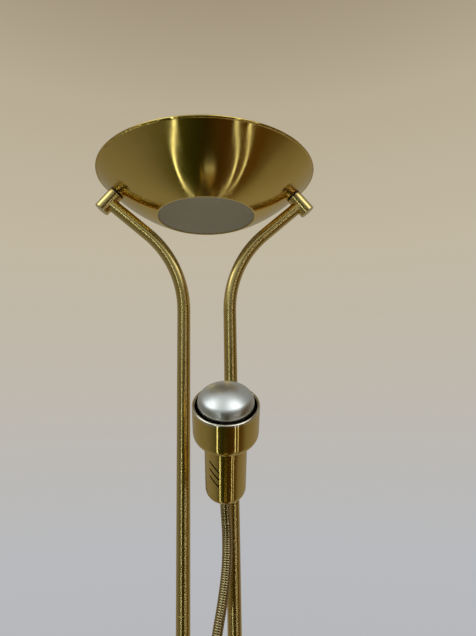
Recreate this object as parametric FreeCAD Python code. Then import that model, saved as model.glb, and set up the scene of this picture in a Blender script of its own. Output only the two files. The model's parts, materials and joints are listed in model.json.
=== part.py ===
# Twin-pole uplighter floor lamp with a flexible reading light, in millimetres.
# Frame: +Z up, origin on the floor at the centre of the base, -Y is the front,
# +X is to the right seen from the front.
import FreeCAD, Part
import math
import os

Vec = FreeCAD.Vector
UP = Vec(0, 0, 1)
FRONT = Vec(0, -1, 0)
REAR = Vec(0, 1, 0)

# --- Driving dimensions -------------------------------------------------------
HEIGHT = 1800.0             # floor to the top of the dish's rim
POLE_SPACING = 57.3         # centre to centre
POLE_RADIUS = 8.0
POLE_BORE = 7.0             # radius
POLE_SEAMS = (650.0, 1277.0)    # heights where one tube section ends and the next starts
JOINER_LENGTH = 44.0

DISH_RADIUS = 140.0
DISH_WALL = 1.2
DISH_CURVE = 213.7          # radius of the wall's outer curve, in section
DISH_CURVE_X = -20.3        # that curve's centre, past the lamp's axis
DISH_FLOOR_RADIUS = 64.2
RIM_BEAD = 1.6              # radius of the rolled rim
GLASS_LIP = 2.0             # width of the brass lip under the glass disc
GLASS_THICKNESS = 4.0
FOOT_ANGLE = math.radians(50.6)     # the wall's slope where an arm holds it

ARM_SLOPE = math.radians(40.5)      # the arm's straight end, above horizontal
ARM_BEND = 131.4            # radius
BARREL_RADIUS = 10.0
BARREL_LENGTH = 28.2
BARREL_WASHER = 0.8

BASE_RADIUS = 140.0
BASE_TOP = 34.0
BASE_FLAT = 48.0            # radius of the flat top round the poles
COVER_WALL = 1.5
PAD_THICKNESS = 2.0
WEIGHT_RADIUS = 134.0
WEIGHT_TOP = 18.0
POCKET_RADIUS = 46.0
POCKET_TOP = 12.0

THREAD_RADIUS = 5.0         # M10 x 1 hollow thread, the usual lamp fitting
THREAD_BORE = 3.7
NUT_HALF_FLATS = 7.0
NUT_THICKNESS = 4.0
LEAD_RADIUS = 2.4

HOUSING_HALF_WIDTH = 50.0
HOUSING_FRONT = -42.0
HOUSING_REAR = 14.0
HOUSING_BOTTOM = 1037.0
HOUSING_TOP = 1103.0
HOUSING_WALL = 2.5
HOUSING_CORNER = 12.0
KNOB_X = 24.0
KNOB_Z = 1071.0
KNOB_RADIUS = 11.0
KNOB_DEPTH = 15.0
SHAFT_RADIUS = 3.0

FLEX_RADIUS = 5.75
FLEX_BORE = 3.2
FLEX_NECK = 4.3             # radius under each ball, so that the next cup can swing
BALL_GAP = 0.35             # clearance between a link's ball and the next link's cup
SOCKET_HEIGHT = 14.0
# Centres of the flexible arm's bends, from the dimmer box up. One more, under the
# head, lies on the head's axis.
FLEX_ROOT = Vec(0, -26, HOUSING_TOP + SOCKET_HEIGHT)
FLEX_BENDS = [
    Vec(0.0, -26.0, 1133.4),
    Vec(0.0, -25.6, 1166.1),
    Vec(0.7, -24.8, 1198.7),
    Vec(3.5, -23.4, 1231.2),
    Vec(8.7, -21.6, 1263.4),
    Vec(15.0, -19.8, 1295.4),
    Vec(19.6, -18.7, 1327.8),
    Vec(20.6, -20.0, 1360.2),
]
HEAD_BEND = 16.4            # from the flexible arm's tip down to its last bend

HEAD_TILT = 38.3            # degrees, leaning forward from upright
HEAD_LEAN = 1.2             # degrees, leaning to the left
HEAD_BASE = Vec(18.5, -43.1, 1411.4)
HEAD_LENGTH = 121.0
HEAD_RADIUS = 21.7
HEAD_WALL = 1.0
HEAD_ROUND = 11.0
BELL_RADIUS = 33.0
BELL_WALL = 1.2
BELL_BEAD = 1.4
NECK_HEIGHT = 76.5          # where the tube ends inside the bell's sleeve
BELL_FLOOR = 78.5
SLEEVE_BOTTOM = 69.0
SLEEVE_WALL = 0.7
BELL_ROUND = 10.0
SLOT_WIDTH = 2.0
SLOT_LENGTH = 15.6
SLOT_PITCH = 10.1
SLOT_MIDDLE = 45.9
SLOT_SLANT = 41.5           # degrees
SLOT_AZIMUTH = -36.0        # degrees from the front of the head
COLLAR_RADIUS = 7.5
COLLAR_LENGTH = 7.0

BULB_TOP = 138.3            # above the head's base: 17 mm proud of the bell
BULB_RADIUS = 27.7
BULB_CURVE = 43.0           # of the dome
BULB_ROUND = 10.4           # round the dome's edge
BULB_GLASS = 0.7
CAP_BOTTOM = BULB_TOP - 84.0
LAMPHOLDER_BOTTOM = BULB_TOP - 109.0

TUBE_HALF = 58.0            # half length of the 118 mm halogen tube
TUBE_RADIUS = 5.5
BRIDGE_THICKNESS = 1.5
BRIDGE_WIDTH = 22.0
BRIDGE_GAP = 0.6            # from the dish's wall, so that the flat tab clears its curve
HOLDER_X = 55.0             # inner face of each tube holder
HOLDER_LENGTH = 20.0
HOLDER_HEIGHT = 21.0
CAP_SEAT = 4.5              # depth of the holder's recess for the tube's end
PIN_RADIUS = 2.0
PIN_BORE_DEPTH = 18.4
TUBE_RISE = 13.0            # tube axis above the bridge

# --- Worked-out places --------------------------------------------------------
POLE_X = POLE_SPACING / 2
SIDES = (-1, 1)
BEAD_ANGLE = math.acos((DISH_RADIUS - RIM_BEAD - DISH_CURVE_X) / (DISH_CURVE - DISH_WALL / 2))
DISH_CURVE_Z = HEIGHT - RIM_BEAD + (DISH_CURVE - DISH_WALL / 2) * math.sin(BEAD_ANGLE)


def wall_point(angle, inset=0.0):
    """A point (x, z) of the dish's wall: angle below horizontal, inset from its outside."""
    radius = DISH_CURVE - inset
    return (DISH_CURVE_X + radius * math.cos(angle), DISH_CURVE_Z - radius * math.sin(angle))


FLOOR_ANGLE = math.acos((DISH_FLOOR_RADIUS - DISH_CURVE_X) / DISH_CURVE)
DISH_FLOOR_Z = wall_point(FLOOR_ANGLE)[1]
FOOT = Vec(wall_point(FOOT_ANGLE)[0], 0, wall_point(FOOT_ANGLE)[1])
FOOT_OUT = Vec(math.cos(FOOT_ANGLE), 0, -math.sin(FOOT_ANGLE))
BARREL_MIDDLE = FOOT + FOOT_OUT * (BARREL_WASHER + BARREL_LENGTH / 2)
ARM_DIRECTION = Vec(math.cos(ARM_SLOPE), 0, math.sin(ARM_SLOPE))
ARM_TURN = math.pi / 2 - ARM_SLOPE
ARM_CORNER_Z = BARREL_MIDDLE.z - (BARREL_MIDDLE.x - POLE_X) * math.tan(ARM_SLOPE)
TAB_REACH = 11.0            # from a dish bolt to the bridge's bend
BRIDGE_Z = FOOT.z - FOOT_OUT.z * (DISH_WALL + BRIDGE_GAP) - TAB_REACH * math.cos(FOOT_ANGLE)
TUBE_Z = BRIDGE_Z + TUBE_RISE
HEAD_TURN = FreeCAD.Rotation(REAR, -HEAD_LEAN) * FreeCAD.Rotation(Vec(1, 0, 0), HEAD_TILT)
HEAD_PLACE = FreeCAD.Placement(HEAD_BASE, HEAD_TURN)
HEAD_AXIS = HEAD_TURN.multVec(UP)
FLEX_TIP = HEAD_BASE - HEAD_AXIS * COLLAR_LENGTH


# --- Shape helpers ------------------------------------------------------------
def rod(radius, start, end):
    return Part.makeCylinder(radius, (end - start).Length, start, end - start)


def pipe(outer, inner, start, end):
    return rod(outer, start, end).cut(rod(inner, start, end))


def box(low, high):
    size = Vec(*high) - Vec(*low)
    return Part.makeBox(size.x, size.y, size.z, Vec(*low))


def outline(*steps):
    """A closed wire in the XZ plane. A step is a corner (x, z), or a pair of them,
    (middle, end), for an arc."""
    def place(corner):
        return Vec(corner[0], 0, corner[1])

    edges = []
    here = place(steps[0])
    for step in list(steps[1:]) + [steps[0]]:
        if isinstance(step[0], tuple):
            middle, end = place(step[0]), place(step[1])
            edges.append(Part.Arc(here, middle, end).toShape())
        else:
            end = place(step)
            edges.append(Part.LineSegment(here, end).toShape())
        here = end
    return Part.Wire(edges)


def turned(*steps):
    """A solid turned about Z from an outline in the XZ plane."""
    return Part.Face(outline(*steps)).revolve(Vec(0, 0, 0), UP, 360)


def pressed(low_y, high_y, *steps):
    """An outline in the XZ plane, thickened along Y."""
    flat = Part.Face(outline(*steps))
    flat.translate(Vec(0, low_y, 0))
    return flat.extrude(Vec(0, high_y - low_y, 0))


def stand(shape, origin, direction):
    """Moves a shape made along +Z to an origin and a direction."""
    moved = shape.copy()
    moved.Placement = FreeCAD.Placement(origin, FreeCAD.Rotation(UP, direction))
    return moved


def in_head(shape):
    """Moves a shape made about the head's own axis into the head."""
    moved = shape.copy()
    moved.Placement = HEAD_PLACE * shape.Placement
    return moved


def rounded_path(points, radii):
    """A wire of straight runs with an arc of the given radius at each inner point."""
    edges = []
    here = points[0]
    for before, corner, after, radius in zip(points, points[1:], points[2:], radii):
        back = (before - corner).normalize()
        ahead = (after - corner).normalize()
        half = back.getAngle(ahead) / 2
        reach = radius / math.tan(half)
        bisector = (back + ahead).normalize()
        start, end = corner + back * reach, corner + ahead * reach
        middle = corner + bisector * (radius / math.sin(half) - radius)
        edges.append(Part.LineSegment(here, start).toShape())
        edges.append(Part.Arc(start, middle, end).toShape())
        here = end
    edges.append(Part.LineSegment(here, points[-1]).toShape())
    return Part.Wire(edges)


def swept(path, radius):
    """A round bar along a path of tangent runs and arcs."""
    start = path.Edges[0]
    tangent = start.tangentAt(start.FirstParameter)
    circle = Part.Wire(Part.makeCircle(radius, start.valueAt(start.FirstParameter), tangent))
    return path.makePipeShell([circle], True, False)


def mirrored(shape):
    return shape.mirror(Vec(0, 0, 0), Vec(1, 0, 0))


def both_sides(shape):
    return [mirrored(shape), shape]


def hex_nut(origin, direction, hole=THREAD_RADIUS):
    corner = NUT_HALF_FLATS / math.cos(math.pi / 6)
    corners = [Vec(corner * math.cos(k * math.pi / 3), corner * math.sin(k * math.pi / 3), 0)
               for k in range(7)]
    prism = Part.Face(Part.makePolygon(corners)).extrude(UP * NUT_THICKNESS)
    return stand(prism.cut(rod(hole, Vec(0, 0, -1), UP * (NUT_THICKNESS + 1))), origin, direction)


def save(name, *solids):
    shape = solids[0] if len(solids) == 1 else Part.makeCompound(list(solids))
    pieces = shape.Solids
    assert pieces and all(piece.isValid() and piece.Volume > 0 for piece in pieces), name
    if len(pieces) == 1:
        shape = pieces[0]
    shape.exportStep("parts/" + name + ".step")
    print(name, len(pieces), round(shape.Volume / 1000, 2), "cm3")


# --- Base ---------------------------------------------------------------------
def base_cover():
    edge = PAD_THICKNESS
    cover = turned(
        (BASE_RADIUS, edge), (BASE_RADIUS, 13),
        ((BASE_RADIUS - 3.2, 21), (BASE_RADIUS - 11, 24.5)),
        ((95, 30.8), (BASE_FLAT, BASE_TOP)),
        (0, BASE_TOP), (0, BASE_TOP - COVER_WALL), (BASE_FLAT, BASE_TOP - COVER_WALL),
        ((95, 30.8 - COVER_WALL), (BASE_RADIUS - 11.5, 24.5 - COVER_WALL)),
        ((BASE_RADIUS - 4.4, 20), (BASE_RADIUS - COVER_WALL, 13)),
        (BASE_RADIUS - COVER_WALL, edge))
    for side in SIDES:
        cover = cover.cut(rod(THREAD_RADIUS, Vec(side * POLE_X, 0, 0), Vec(side * POLE_X, 0, 50)))
    return cover.cut(rod(INLET_RADIUS, Vec(0, 120, INLET_Z), Vec(0, 150, INLET_Z)))


INLET_Z = 10.5
INLET_RADIUS = 6.0
INLET_BORE = 3.6
INLET_INNER_Y = 132.0
INLET_FLANGE = 2.2


def inlet_bush():
    """The bush where a mains lead enters the base, at the rear."""
    outer_y = BASE_RADIUS + INLET_FLANGE
    bush = rod(INLET_RADIUS, Vec(0, INLET_INNER_Y, INLET_Z), Vec(0, outer_y, INLET_Z))
    flange = rod(7.5, Vec(0, BASE_RADIUS, INLET_Z), Vec(0, outer_y, INLET_Z))
    bore = rod(INLET_BORE, Vec(0, INLET_INNER_Y - 1, INLET_Z), Vec(0, outer_y + 1, INLET_Z))
    return bush.fuse(flange).cut(bore).removeSplitter()


PLATE_TOP = PAD_THICKNESS + 1.2
PLATE_SCREW_CIRCLE = 96.0


def plate_screw_places():
    return [Vec(PLATE_SCREW_CIRCLE * math.cos(turn), PLATE_SCREW_CIRCLE * math.sin(turn), 0)
            for turn in (math.radians(90 + 120 * k + 60) for k in range(3))]


def base_weight():
    weight = turned((0, PLATE_TOP), (WEIGHT_RADIUS, PLATE_TOP), (WEIGHT_RADIUS, WEIGHT_TOP - 3),
                    (WEIGHT_RADIUS - 4, WEIGHT_TOP), (BASE_FLAT, WEIGHT_TOP),
                    (BASE_FLAT - 3, BASE_TOP - COVER_WALL), (0, BASE_TOP - COVER_WALL))
    weight = weight.cut(rod(POCKET_RADIUS, Vec(0, 0, 0), Vec(0, 0, POCKET_TOP)))
    weight = weight.cut(box((-8, 30, 0), (8, WEIGHT_RADIUS + 1, 16.6)))
    for side in SIDES:
        weight = weight.cut(rod(THREAD_RADIUS, Vec(side * POLE_X, 0, 0), Vec(side * POLE_X, 0, 50)))
    for place in plate_screw_places():
        weight = weight.cut(rod(2.0, place, place + UP * 12))
    return weight


def base_plate():
    plate = rod(WEIGHT_RADIUS + 3, UP * PAD_THICKNESS, UP * PLATE_TOP)
    for place in plate_screw_places():
        plate = plate.cut(rod(2.0, place, place + UP * 12))
    return plate


def base_plate_screws():
    """Screws whose thin heads are sunk into the pad."""
    return [rod(2.0, place + UP * PAD_THICKNESS, place + UP * 12).fuse(
        rod(3.6, place + UP * (PAD_THICKNESS - 1.0), place + UP * PAD_THICKNESS)).removeSplitter()
        for place in plate_screw_places()]


def base_pad():
    pad = rod(WEIGHT_RADIUS, Vec(0, 0, 0), UP * PAD_THICKNESS)
    for place in plate_screw_places():
        pad = pad.cut(rod(3.6, place + UP * (PAD_THICKNESS - 1.0), place + UP * 5))
    return pad


def base_terminals():
    """The block in the base's pocket that joins the mains lead to the lamp's own lead."""
    low, high = (-16, 20, PLATE_TOP), (16, 33, POCKET_TOP)
    block = box(low, high)
    for k in range(3):
        x = -10 + 10 * k
        block = block.cut(rod(1.8, Vec(x, 10, 8.5), Vec(x, 40, 8.5)))
    return block


# --- Poles --------------------------------------------------------------------
def pole_section(bottom, top):
    edge = 0.4
    section = turned((POLE_BORE, bottom), (POLE_RADIUS - edge, bottom), (POLE_RADIUS, bottom + edge),
                     (POLE_RADIUS, top - edge), (POLE_RADIUS - edge, top), (POLE_BORE, top))
    section.translate(Vec(POLE_X, 0, 0))
    return section


LEAD_EXIT_Z = (1060.0, 1084.0)      # in the left pole and the right pole


def middle_poles():
    """The sections that carry the dimmer box, each with a hole for its lead."""
    poles = []
    for side, exit_z in zip(SIDES, LEAD_EXIT_Z):
        section = pole_section(*POLE_SEAMS)
        if side < 0:
            section = mirrored(section)
        start = Vec(side * POLE_X, 0, exit_z)
        poles.append(section.cut(rod(4.0, start, start + FRONT * 12)))
    return poles


def pole_joiners():
    half = UP * (JOINER_LENGTH / 2)
    joiners = []
    for height in POLE_SEAMS:
        middle = Vec(POLE_X, 0, height)
        joiners += both_sides(pipe(POLE_BORE, THREAD_RADIUS, middle - half, middle + half))
    return joiners


def foot_inserts():
    start = Vec(POLE_X, 0, BASE_TOP)
    return both_sides(pipe(POLE_BORE, THREAD_RADIUS, start, start + UP * 22))


def foot_collars():
    collar = turned((POLE_RADIUS, 0), (14, 0), (14, 2.5), ((13.2, 4.4), (11.2, 5.2)),
                    ((9.6, 6.4), (9.4, 9.5)), (POLE_RADIUS, 9.5))
    collar.translate(Vec(POLE_X, 0, BASE_TOP))
    return both_sides(collar)


def arm_path(start_z):
    corner = Vec(POLE_X, 0, ARM_CORNER_Z)
    return rounded_path([Vec(POLE_X, 0, start_z), corner, BARREL_MIDDLE], [ARM_BEND])


def right_arm():
    """Top pole section: upright, bent outward, and saddled onto the barrel's side."""
    path = arm_path(POLE_SEAMS[1])
    arm = swept(path, POLE_RADIUS).cut(swept(path, POLE_BORE))
    barrel_space = rod(BARREL_RADIUS, FOOT, FOOT + FOOT_OUT * 40)
    arm = arm.cut(barrel_space)
    return max(arm.Solids, key=lambda piece: piece.Volume)


# --- Dish ---------------------------------------------------------------------
def dish_shell():
    floor_in = math.asin((DISH_CURVE_Z - DISH_FLOOR_Z - 1.0) / (DISH_CURVE - DISH_WALL))
    half_out = (FLOOR_ANGLE + BEAD_ANGLE) / 2
    shell = turned(
        (DISH_FLOOR_RADIUS - GLASS_LIP, DISH_FLOOR_Z), (DISH_FLOOR_RADIUS, DISH_FLOOR_Z),
        (wall_point(half_out), wall_point(BEAD_ANGLE)),
        wall_point(BEAD_ANGLE, DISH_WALL),
        (wall_point(half_out, DISH_WALL), wall_point(floor_in, DISH_WALL)),
        (DISH_FLOOR_RADIUS - GLASS_LIP, DISH_FLOOR_Z + 1.0))
    bead = Part.makeTorus(DISH_RADIUS - RIM_BEAD, RIM_BEAD, UP * (HEIGHT - RIM_BEAD))
    shell = shell.fuse(bead).removeSplitter()
    for side in SIDES:
        hole = rod(THREAD_RADIUS, FOOT - FOOT_OUT * 10, FOOT + FOOT_OUT * 10)
        shell = shell.cut(mirrored(hole) if side < 0 else hole)
    return shell


def dish_glass():
    bottom = DISH_FLOOR_Z + 1.0
    edge = 0.6
    radius = DISH_FLOOR_RADIUS - 1.0
    return turned((0, bottom), (radius - edge, bottom), (radius, bottom + edge),
                  (radius, bottom + GLASS_THICKNESS - edge),
                  (radius - edge, bottom + GLASS_THICKNESS), (0, bottom + GLASS_THICKNESS))


BARREL_BORE_DEPTH = 21.0
THREAD_IN_BARREL = 9.0


def dish_barrels():
    """Turned blocks between the arms and the dish, tapped from the dish's side."""
    start, end = BARREL_WASHER, BARREL_WASHER + BARREL_LENGTH
    edge = 0.6
    barrel = turned((0, start + BARREL_BORE_DEPTH), (THREAD_RADIUS, start + BARREL_BORE_DEPTH),
                    (THREAD_RADIUS, start), (BARREL_RADIUS - edge, start),
                    (BARREL_RADIUS, start + edge), (BARREL_RADIUS, end - edge),
                    (BARREL_RADIUS - edge, end), (0, end))
    barrel = stand(barrel, FOOT, FOOT_OUT)
    lead_hole = rod(4.5, BARREL_MIDDLE - ARM_DIRECTION * 20, BARREL_MIDDLE)
    return both_sides(barrel.cut(lead_hole))


def dish_washers():
    """Washers shaped to the dish's curve."""
    washer = pipe(BARREL_RADIUS - 0.4, THREAD_RADIUS, FOOT - FOOT_OUT * 2,
                  FOOT + FOOT_OUT * BARREL_WASHER)
    half = (FLOOR_ANGLE + BEAD_ANGLE) / 2
    bowl = turned((0, DISH_FLOOR_Z), (DISH_FLOOR_RADIUS, DISH_FLOOR_Z),
                  (wall_point(half), wall_point(BEAD_ANGLE)),
                  (0, wall_point(BEAD_ANGLE)[1]))
    return both_sides(washer.cut(bowl))


def bridge_tab_start():
    """Centre of the dish bolt's seat on the bridge."""
    return FOOT - FOOT_OUT * (DISH_WALL + BRIDGE_GAP)


def lamp_bridge():
    """A strap across the bowl, under both dish nuts, that carries the lamp."""
    seat = bridge_tab_start()
    along = Vec(math.sin(FOOT_ANGLE), 0, math.cos(FOOT_ANGLE))
    lift = FOOT_OUT * -BRIDGE_THICKNESS
    tip, bend = seat + along * 8, seat - along * TAB_REACH
    top_z = BRIDGE_Z + BRIDGE_THICKNESS
    top_tip = tip + lift
    top_bend = top_tip - along * ((top_tip.z - top_z) / along.z)
    strap = pressed(-BRIDGE_WIDTH / 2, BRIDGE_WIDTH / 2, (0, BRIDGE_Z), (0, top_z),
                    (top_bend.x, top_z), (top_tip.x, top_tip.z), (tip.x, tip.z), (bend.x, BRIDGE_Z))
    strap = strap.cut(rod(THREAD_RADIUS + 0.2, FOOT - FOOT_OUT * 12, FOOT + FOOT_OUT * 12))
    for y in (-7, 7):
        place = Vec(HOLDER_X + HOLDER_LENGTH / 2, y, BRIDGE_Z)
        strap = strap.cut(rod(1.6, place - UP * 5, place + UP * 5))
    return strap.fuse(mirrored(strap)).removeSplitter()


def holder_screws():
    screws = []
    for y in (-7, 7):
        place = Vec(HOLDER_X + HOLDER_LENGTH / 2, y, BRIDGE_Z)
        screws += both_sides(rod(1.6, place, place + UP * 9).fuse(
            rod(3.0, place - UP * 1.8, place)).removeSplitter())
    return screws


def tube_holders():
    """Ceramic end holders for the halogen tube."""
    bottom = BRIDGE_Z + BRIDGE_THICKNESS
    block = box((HOLDER_X, -11, bottom), (HOLDER_X + HOLDER_LENGTH, 11, bottom + HOLDER_HEIGHT))
    block = block.makeFillet(1.5, block.Edges)
    axis = Vec(HOLDER_X, 0, TUBE_Z)
    block = block.cut(rod(4.4, axis - Vec(1, 0, 0), axis + Vec(CAP_SEAT, 0, 0)))
    block = block.cut(box((HOLDER_X - 1, -4.4, TUBE_Z), (HOLDER_X + CAP_SEAT, 4.4, TUBE_Z + 30)))
    block = block.cut(rod(PIN_RADIUS + 0.06, axis, axis + Vec(PIN_BORE_DEPTH, 0, 0)))
    block = block.cut(rod(LEAD_RADIUS, axis + Vec(PIN_BORE_DEPTH, 0, 0), axis + Vec(30, 0, 0)))
    for y in (-7, 7):
        place = Vec(HOLDER_X + HOLDER_LENGTH / 2, y, bottom)
        block = block.cut(rod(1.6, place - UP, place + UP * 7.5))
    return both_sides(block)


def contact_pin():
    """The right sprung pin, whose nose reaches into the tube's sunk end contact."""
    start = Vec(TUBE_HALF - 2.6, 0, TUBE_Z)
    shoulder = start + Vec(4.0, 0, 0)
    pin = rod(PIN_RADIUS, shoulder, start + Vec(14.2, 0, 0))
    return pin.fuse(rod(1.6, start, shoulder)).removeSplitter()


def laid_along_x(shape):
    """Turns a shape made about Z, centred on the origin, to lie along the tube's axis."""
    return stand(shape, Vec(0, 0, TUBE_Z), Vec(1, 0, 0))


def halogen_tube():
    inner = TUBE_RADIUS - 0.9
    half = 40.0
    shell = turned((0, -half - 7), (2.6, -half - 7), (2.6, -half - 3),
                   ((4.6, -half - 1.6), (TUBE_RADIUS, -half + 1.5)),
                   (TUBE_RADIUS, half - 1.5), ((4.6, half + 1.6), (2.6, half + 3)),
                   (2.6, half + 7), (0, half + 7),
                   (0, half), (inner, half - 2), (inner, -half + 2), (0, -half))
    return laid_along_x(shell)


def halogen_filament():
    return laid_along_x(pipe(0.9, 0.5, Vec(0, 0, -34), Vec(0, 0, 34)))


def tube_caps():
    """Ceramic ends with a sunk contact."""
    cap = turned((0, 47.0), (3.7, 47.0), (3.7, TUBE_HALF), (2.7, TUBE_HALF),
                 (2.7, TUBE_HALF - 3.0), (0, TUBE_HALF - 3.0))
    return [laid_along_x(cap), mirrored(laid_along_x(cap))]


def reflector():
    """A bright trough under the halogen tube."""
    half_length = HOLDER_X - 5
    floor = BRIDGE_Z + BRIDGE_THICKNESS
    thickness = 0.8
    steps = [(-24, 9), (-13, 0), (13, 0), (24, 9), (24, 9 + thickness), (12.7, thickness),
             (-12.7, thickness), (-24, 9 + thickness)]
    profile = [Vec(-half_length, y, floor + z) for y, z in steps]
    return Part.Face(Part.makePolygon(profile + profile[:1])).extrude(Vec(2 * half_length, 0, 0))


# --- Threads, nuts, washers and leads ------------------------------------------
def threaded_nipples():
    """Hollow threads: two hold the poles to the base, two hold the dish, one the arm."""
    foot = Vec(POLE_X, 0, POCKET_TOP - 7)
    poles = both_sides(pipe(THREAD_RADIUS, THREAD_BORE, foot, Vec(POLE_X, 0, BASE_TOP + 20)))
    dish = both_sides(pipe(THREAD_RADIUS, THREAD_BORE,
                           FOOT - FOOT_OUT * 11, FOOT + FOOT_OUT * THREAD_IN_BARREL))
    root = Vec(FLEX_ROOT.x, FLEX_ROOT.y, HOUSING_TOP - 10)
    return poles + dish + [pipe(THREAD_RADIUS, THREAD_BORE, root, root + UP * 20)]


WASHER_RADIUS = 8.6
WASHER_THICKNESS = 1.5


def lock_washers():
    seat = Vec(POLE_X, 0, POCKET_TOP)
    base = both_sides(pipe(WASHER_RADIUS, THREAD_RADIUS, seat - UP * WASHER_THICKNESS, seat))
    top = bridge_tab_start() - FOOT_OUT * BRIDGE_THICKNESS
    dish = both_sides(pipe(WASHER_RADIUS, THREAD_RADIUS, top - FOOT_OUT * WASHER_THICKNESS, top))
    return base + dish


def lock_nuts():
    base = hex_nut(Vec(POLE_X, 0, POCKET_TOP - WASHER_THICKNESS - NUT_THICKNESS), UP)
    seat = bridge_tab_start() - FOOT_OUT * (BRIDGE_THICKNESS + WASHER_THICKNESS)
    dish = hex_nut(seat, FOOT_OUT * -1)
    arm = hex_nut(Vec(FLEX_ROOT.x, FLEX_ROOT.y, HOUSING_TOP - HOUSING_WALL - NUT_THICKNESS), UP)
    return both_sides(base) + both_sides(dish) + [arm]


def mains_lead():
    """From the base's terminals up the left pole to the dimmer box."""
    x, exit_z = -POLE_X, LEAD_EXIT_Z[0]
    points = [Vec(x, 0, PLATE_TOP + 0.5), Vec(x, 0, exit_z), Vec(x, -18.5, exit_z)]
    return swept(rounded_path(points, [9.0]), LEAD_RADIUS)


def uplighter_lead():
    """From the dimmer box up the right pole and arm, through the barrel, to the tube."""
    exit_z = LEAD_EXIT_Z[1]
    holder_end = Vec(HOLDER_X + PIN_BORE_DEPTH + 0.2, 0, TUBE_Z)
    points = [Vec(POLE_X, -18.5, exit_z), Vec(POLE_X, 0, exit_z), Vec(POLE_X, 0, ARM_CORNER_Z),
              BARREL_MIDDLE, FOOT - FOOT_OUT * 17.5, Vec(holder_end.x + 17, 0, TUBE_Z), holder_end]
    radii = [9.0, ARM_BEND, 5.0, 5.5, 6.0]
    return swept(rounded_path(points, radii), LEAD_RADIUS)


# --- Dimmer box ---------------------------------------------------------------
def rounded_block(half_width, front, rear, bottom, top, corner):
    block = box((-half_width, front, bottom), (half_width, rear, top))
    upright = [edge for edge in block.Edges if abs(edge.tangentAt(0).z) > 0.9]
    return block.makeFillet(corner, upright)


PILLAR_PLACES = [(x, z) for x in (-42.0, 42.0) for z in (1045.5, 1094.5)]


def housing_blank():
    """The box closed and hollow, with its holes, before it is split into two shells."""
    outer = rounded_block(HOUSING_HALF_WIDTH, HOUSING_FRONT, HOUSING_REAR,
                          HOUSING_BOTTOM, HOUSING_TOP, HOUSING_CORNER)
    rims = [edge for edge in outer.Edges if abs(edge.tangentAt(edge.FirstParameter).z) < 0.01]
    outer = outer.makeFillet(2.5, rims)
    wall = HOUSING_WALL
    inner = rounded_block(HOUSING_HALF_WIDTH - wall, HOUSING_FRONT + wall, HOUSING_REAR - wall,
                          HOUSING_BOTTOM + wall, HOUSING_TOP - wall, HOUSING_CORNER - wall)
    blank = outer.cut(inner)
    for x, z in PILLAR_PLACES:
        blank = blank.fuse(rod(3.5, Vec(x, HOUSING_FRONT + 1, z), Vec(x, HOUSING_REAR - 1, z)))
    for side in SIDES:
        pole = rod(POLE_RADIUS, Vec(side * POLE_X, 0, HOUSING_BOTTOM - 1),
                   Vec(side * POLE_X, 0, HOUSING_TOP + 1))
        bush = rod(4.5, Vec(side * KNOB_X, HOUSING_FRONT - 5, KNOB_Z),
                   Vec(side * KNOB_X, HOUSING_FRONT + 5, KNOB_Z))
        blank = blank.cut(pole).cut(bush)
    socket = Vec(FLEX_ROOT.x, FLEX_ROOT.y, HOUSING_TOP)
    return blank.cut(rod(THREAD_RADIUS, socket - UP * 5, socket + UP * 5))


def housing_front():
    shell = housing_blank().common(box((-80, -80, 1000), (80, 0, 1140)))
    for x, z in PILLAR_PLACES:
        shell = shell.cut(rod(1.4, Vec(x, -14, z), Vec(x, 1, z)))
    return shell


def housing_back():
    shell = housing_blank().common(box((-80, 0, 1000), (80, 80, 1140)))
    for x, z in PILLAR_PLACES:
        shell = shell.cut(rod(1.7, Vec(x, -1, z), Vec(x, HOUSING_REAR + 1, z)))
        shell = shell.cut(rod(3.2, Vec(x, HOUSING_REAR - 2, z), Vec(x, HOUSING_REAR + 1, z)))
    return shell


def housing_screws():
    screws = []
    for x, z in PILLAR_PLACES:
        head_in = HOUSING_REAR - 2
        shank = rod(1.4, Vec(x, -14, z), Vec(x, head_in, z))
        head = rod(3.0, Vec(x, head_in, z), Vec(x, HOUSING_REAR - 0.3, z))
        cross = box((x - 1.9, HOUSING_REAR - 1.2, z - 0.35), (x + 1.9, HOUSING_REAR, z + 0.35))
        other = box((x - 0.35, HOUSING_REAR - 1.2, z - 1.9), (x + 0.35, HOUSING_REAR, z + 1.9))
        screws.append(shank.fuse(head).removeSplitter().cut(cross).cut(other))
    return screws


BOARD_FRONT = -13.6
BOARD_BACK = -12.0
POT_FRONT = -22.6


def dimmer_board():
    """The circuit board, with a hole for each lead."""
    board = box((-37, BOARD_FRONT, 1043), (37, BOARD_BACK, 1092))
    for side, exit_z in zip(SIDES, LEAD_EXIT_Z):
        start = Vec(side * POLE_X, BOARD_FRONT - 1, exit_z)
        board = board.cut(rod(LEAD_RADIUS + 0.4, start, start + REAR * 4))
    return board


def dimmer_pots():
    """Rotary controls, whose bushes pass through the box's front."""
    pots = []
    for side in SIDES:
        x = side * KNOB_X
        body = box((x - 8.5, POT_FRONT, KNOB_Z - 8.5), (x + 8.5, BOARD_FRONT, KNOB_Z + 8.5))
        bush = rod(4.5, Vec(x, HOUSING_FRONT + 0.5, KNOB_Z), Vec(x, POT_FRONT, KNOB_Z))
        bore = rod(SHAFT_RADIUS + 0.05, Vec(x, HOUSING_FRONT - 1, KNOB_Z),
                   Vec(x, POT_FRONT - 1.5, KNOB_Z))
        pots.append(body.fuse(bush).removeSplitter().cut(bore))
    return pots


def dimmer_chokes():
    return [Part.makeTorus(7, 3, Vec(x, BOARD_FRONT - 3, 1052), REAR) for x in (-11.5, 11.5)]


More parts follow.
